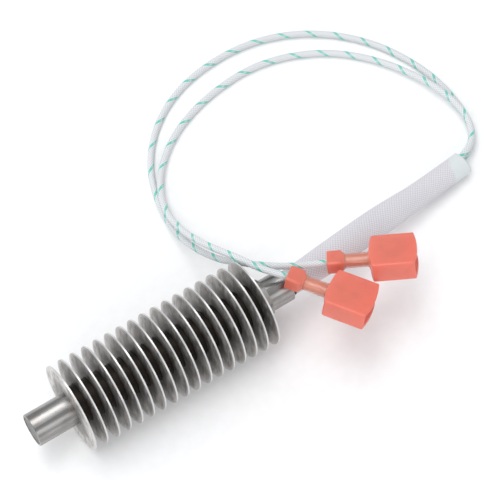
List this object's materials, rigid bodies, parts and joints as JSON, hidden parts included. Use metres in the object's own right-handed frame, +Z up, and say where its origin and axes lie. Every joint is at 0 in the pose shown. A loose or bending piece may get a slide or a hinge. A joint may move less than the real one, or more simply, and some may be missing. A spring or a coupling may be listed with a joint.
{
  "type": "finned cartridge heater",
  "caption": "Slim cartridge heater with pressed-on round fins for heating air, with braided leads in a woven sleeve that end in red covered push-on terminals.",
  "frame": {"origin": "on the floor under the middle of the sheath, midway between its closed tip and its open mouth", "axes": "+X runs along the heater from its closed tip to the mouth where the leads leave, +Z is up"},
  "size_m": [0.136, 0.0893, 0.0217],
  "materials": {
    "sheath_steel": "satin drawn stainless tube with soft lengthwise reflections",
    "tip_steel": "matt grey welded end disc",
    "fin_steel": "rolled grey steel, mottled, with bright cut rims",
    "magnesia": "fired off-white ceramic",
    "magnesia_powder": "packed white powder",
    "resistance_wire": "oxidised resistance alloy",
    "nickel": "plain drawn nickel",
    "strands": "stranded nickel-plated copper",
    "potting": "black potting, matt",
    "lead_braid": "white glass braid with a green tracer thread",
    "sleeve_braid": "fine off-white woven glass sleeve, coated at its outer end",
    "nylon": "translucent coral-red nylon, satin",
    "tinned_ferrule": "thin tinned copper tube with crimp marks",
    "tinned_brass": "tinned brass stamping"
  },
  "bodies": {
    "root": {"sheath": "sheath_steel", "tip_disc": "tip_steel", "tip_wafer": "magnesia", "ceramic_core": "magnesia", "heating_coil": "resistance_wire", "oxide_fill": "magnesia_powder", "end_seal": "potting", "sleeve": "sleeve_braid", "fin_01": "fin_steel", "fin_02": "fin_steel", "fin_03": "fin_steel", "fin_04": "fin_steel", "fin_05": "fin_steel", "fin_06": "fin_steel", "fin_07": "fin_steel", "fin_08": "fin_steel", "fin_09": "fin_steel", "fin_10": "fin_steel", "fin_11": "fin_steel", "fin_12": "fin_steel", "fin_13": "fin_steel", "fin_14": "fin_steel", "fin_15": "fin_steel", "fin_16": "fin_steel", "fin_17": "fin_steel", "pin_a": "nickel", "splice_a": "nickel", "lead_a": "lead_braid", "conductor_a": "strands", "housing_a": "nylon", "ferrule_a": "tinned_ferrule", "receptacle_a": "tinned_brass", "pin_b": "nickel", "splice_b": "nickel", "lead_b": "lead_braid", "conductor_b": "strands", "housing_b": "nylon", "ferrule_b": "tinned_ferrule", "receptacle_b": "tinned_brass"}
  },
  "joints": []
}
